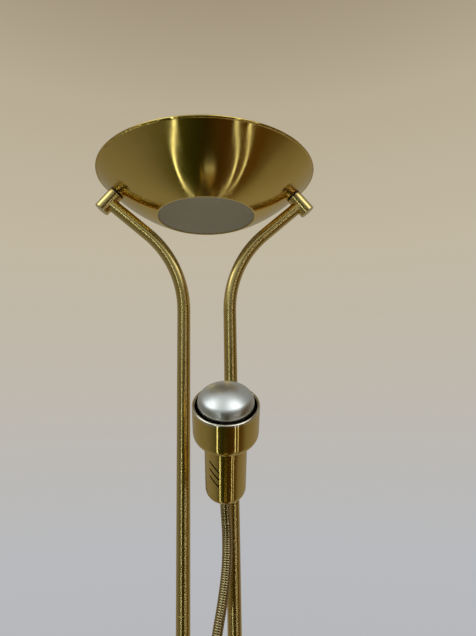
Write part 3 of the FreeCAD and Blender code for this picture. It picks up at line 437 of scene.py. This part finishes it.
def paint_all():
    lamp_spun = spun_brass("spun_brass", (0, 0, 0), UP)
    # The head's inside and its slots are painted near-black as painted shade.
    head_spun = spun_brass("head_brass", HEAD_BASE, HEAD_AXIS, black=(0.015, 0.07, 0.0))
    # The bell's inside is painted near-black as painted shade.
    bell_spun = spun_brass("bell_brass", HEAD_BASE, HEAD_AXIS, black=(0.068, 0.1195, 1.0),
                           # The bell's lip is painted pale from this height, as a painted highlight.
                           lip=0.1188)
    tube = drawn_brass()
    zinc = plain_metal("zinc_steel", (0.62, 0.62, 0.60), 0.32)
    black = moulded("black_plastic", (0.022, 0.021, 0.020), 0.42)
    rubber = moulded("rubber", (0.03, 0.03, 0.03), 0.7)
    ceramic = moulded("ceramic", (0.78, 0.75, 0.68), 0.22, 400, 0.00003, 0.3)
    cream = moulded("cream_plastic", (0.66, 0.61, 0.50), 0.4)
    bright = plain_metal("bright_aluminium", (0.82, 0.82, 0.82), 0.2)
    paint(lamp_spun, "dish", "base_cover")
    paint(head_spun, "head_body")
    paint(bell_spun, "head_bell")
    paint(tube, "lower_poles", "middle_poles", "left_arm", "right_arm", "foot_collars",
          "dish_barrels", "flex_socket", "head_collar", "left_contact_pin", "right_contact_pin")
    paint(zinc, "base_plate", "foot_inserts", "pole_joiners", "lamp_bridge", "threaded_nipples",
          "lock_washers", "lock_nuts", "screws", "head_nipple", "head_locknut")
    paint(plain_metal("cast_iron", (0.16, 0.16, 0.16), 0.7, 0.0006, 300), "base_weight")
    paint(felt(), "base_pad")
    paint(black, "housing_front", "housing_back", "inlet_bush")
    paint(moulded("knob_black", (0.018, 0.017, 0.016), 0.22, 900, 0.00002, 0.2),
          "left_knob", "right_knob")
    paint(rubber, "dish_washers", "mains_lead", "uplighter_lead")
    paint(ceramic, "tube_holders", "tube_caps", "head_lampholder")
    paint(cream, "terminal_blocks")
    paint(bright, "reflector", "dimmer_pots", "left_knob_shaft", "right_knob_shaft",
          "reading_bulb_cap")
    paint(plain_metal("tungsten", (0.30, 0.30, 0.32), 0.4), "halogen_filament")
    paint(plain_metal("copper", (0.62, 0.28, 0.13), 0.3), "dimmer_chokes")
    paint(circuit_board(), "dimmer_board")
    paint(frosted_glass(), "dish_glass")
    paint(quartz(), "halogen_tube")
    paint(silvered_glass(), "reading_bulb")


# --- Room ----------------------------------------------------------------------------------
def add_floor():
    """A pale round floor."""
    bpy.ops.mesh.primitive_circle_add(vertices=96, radius=2.3, fill_type="NGON")
    floor = bpy.context.object
    floor.name = "floor"
    surface = Surface("pale_floor", Base_Color=(0.62, 0.61, 0.58, 1), Roughness=0.8)
    clouds = surface.noise(surface.place, 3, 3.0)
    tone = surface.ramp(clouds, (0.3, (0.60, 0.59, 0.56)), (0.7, (0.64, 0.63, 0.60)))
    surface.to_shader(tone, "Base Color")
    floor.data.materials.append(surface.material)
    floor.visible_glossy = False


# What the metal reflects all round, by bearing in degrees from straight ahead, right positive.
ROOM = [
    (-180, (0.30, 0.29, 0.25)), (-125, (0.22, 0.21, 0.18)), (-80, (0.15, 0.145, 0.12)),
    (-48, (0.10, 0.10, 0.065)), (-27, (0.048, 0.052, 0.014)), (-11, (0.022, 0.024, 0.004)),
    (0, (0.020, 0.016, 0.002)), (10, (0.042, 0.024, 0.003)), (26, (0.055, 0.028, 0.003)),
    (44, (0.080, 0.042, 0.006)), (70, (0.080, 0.046, 0.012)), (88, (0.11, 0.085, 0.045)),
    (104, (0.19, 0.17, 0.13)), (135, (0.27, 0.25, 0.21)), (180, (0.30, 0.29, 0.25))]
# Tall lights: bearing, half width in degrees, brightness.
TALL_LIGHTS = [(-31.5, 2.2, 3.0), (30, 1.8, 1.8), (47, 2.2, 1.5)]
# Round soft lights: bearing, height and spread in degrees, brightness.
ROUND_LIGHTS = [(-60, 42, 14, 1.5), (33, 44, 14, 1.5), (-14, 48, 28, 0.35)]


# Well below level, bearings are drawn in towards the front, so that the streaks of the tall lights
# run down the bowl to its glass.
BEND_START = 0.60
BEND = 5.5
TALL_TOP = (10, 24)                 # degrees up, where the tall lights fade out
CEILING_EDGE = (22, 50)             # degrees up, from walls to ceiling
CEILING = (0.27, 0.27, 0.25)
GLOW = (0.93, 1.03, 1.05)           # the lights' colour
# What the camera sees behind the lamp, by degrees up; it is darker towards the top, as painted shade
# of the wall.
BACKDROP = [(-30, (0.47, 0.47, 0.49)), (-15.6, (0.48, 0.49, 0.51)), (2, (0.52, 0.48, 0.42)),
            (18.8, (0.54, 0.48, 0.36)), (34, (0.48, 0.41, 0.295)), (44.4, (0.36, 0.295, 0.205))]


def direction(bearing, height):
    """The unit vector to a place in the room, from degrees."""
    bearing, height = math.radians(bearing), math.radians(height)
    return (math.sin(bearing) * math.cos(height), -math.cos(bearing) * math.cos(height),
            math.sin(height))


class Sky(Surface):
    """The world's nodes: plain to the camera, and a soft room in reflections and lighting."""

    def __init__(self):
        world = bpy.data.worlds.new("room")
        bpy.context.scene.world = world
        world.use_nodes = True
        self.tree = world.node_tree
        self.background = self.tree.nodes["Background"]
        self.place = self.node("ShaderNodeTexCoord").outputs["Generated"]

    def smooth(self, value, low, high, start=0.0, end=1.0):
        """Goes from start to end as value goes from low to high."""
        made = self.node("ShaderNodeMapRange", interpolation_type="SMOOTHSTEP")
        self.link(value, made.inputs["Value"])
        for socket, number in (("From Min", low), ("From Max", high), ("To Min", start),
                               ("To Max", end)):
            made.inputs[socket].default_value = number
        return made.outputs["Result"]


def tall_lights(sky, bearing, height):
    """Upright strips of light at their bearings, each with a soft edge and a soft top."""
    low, high = TALL_TOP
    for degrees, half_width, brightness in TALL_LIGHTS:
        off = sky.maths("ABSOLUTE", sky.maths("SUBTRACT", bearing, math.radians(degrees)))
        lit = sky.smooth(off, math.radians(0.3 * half_width), math.radians(half_width),
                         brightness, 0.0)
        over = sky.smooth(height, math.radians(low), math.radians(high), 1.0, 0.0)
        yield sky.maths("MULTIPLY", lit, over)


def round_lights(sky):
    """Wide soft spots of light, high up."""
    for degrees, up_degrees, spread, brightness in ROUND_LIGHTS:
        near = sky.node("ShaderNodeVectorMath", operation="DOT_PRODUCT")
        sky.link(sky.place, near.inputs[0])
        near.inputs[1].default_value = direction(degrees, up_degrees)
        edge, core = math.cos(math.radians(spread * 1.8)), math.cos(math.radians(spread * 0.4))
        yield sky.smooth(near.outputs["Value"], edge, core, 0.0, brightness)


def add_room():
    sky = Sky()
    parts = sky.node("ShaderNodeSeparateXYZ")
    sky.link(sky.place, parts.inputs["Vector"])
    x, y, z = parts.outputs
    low = sky.maths("MAXIMUM", sky.maths("MULTIPLY_ADD", z, -1.0, -BEND_START), 0.0)
    ahead = sky.maths("SUBTRACT", sky.maths("MULTIPLY", sky.maths("POWER", low, 2.0), BEND), y)
    bearing = sky.maths("ARCTAN2", x, ahead)
    height = sky.maths("ARCSINE", z)
    share = sky.maths("MULTIPLY_ADD", bearing, 1 / (2 * math.pi), 0.5)
    walls = sky.ramp(share, *[((degrees + 180) / 360, colour) for degrees, colour in ROOM])
    low_edge, high_edge = CEILING_EDGE
    ceiling = sky.smooth(height, math.radians(low_edge), math.radians(high_edge))
    room = sky.mix(ceiling, walls, CEILING)
    brightness = 0.0
    for light in (*tall_lights(sky, bearing, height), *round_lights(sky)):
        brightness = sky.maths("ADD", brightness, light)
    glow = sky.node("ShaderNodeCombineColor")
    for channel, part in zip(glow.inputs, GLOW):
        sky.link(sky.maths("MULTIPLY", brightness, part), channel)
    lit_room = sky.mix(1.0, room, glow.outputs["Color"], "ADD")
    bottom, top = -30, 50
    level = sky.maths("MULTIPLY_ADD", height, math.degrees(1) / (top - bottom),
                      -bottom / (top - bottom))
    backdrop = sky.ramp(level, *[((degrees - bottom) / (top - bottom), colour)
                                 for degrees, colour in BACKDROP])
    path = sky.node("ShaderNodeLightPath")
    seen = sky.mix(path.outputs["Is Camera Ray"], lit_room, backdrop)
    sky.link(seen, sky.background.inputs["Color"])


def add_lights():
    """Two large soft lights, high in front, for the matt pieces and the floor."""
    middle = Vector((0, 0, 1.3))
    distance = 2.6
    for name, degrees in (("left_light", -50), ("right_light", 40)):
        data = bpy.data.lights.new(name, "AREA")
        data.shape = "SQUARE"
        data.size = 1.6
        data.energy = 26
        data.color = (1.0, 0.95, 0.86)
        lamp = bpy.data.objects.new(name, data)
        aim = Vector(direction(degrees, 45))
        lamp.location = middle + aim * distance
        lamp.rotation_euler = aim.to_track_quat("Z", "Y").to_euler()
        lamp.visible_glossy = False
        lamp.visible_camera = False
        bpy.context.scene.collection.objects.link(lamp)


add_camera()
paint_all()
add_flexible_arm(coil_brass())
add_floor()
add_room()
add_lights()
bpy.context.scene.view_settings.view_transform = "Standard"
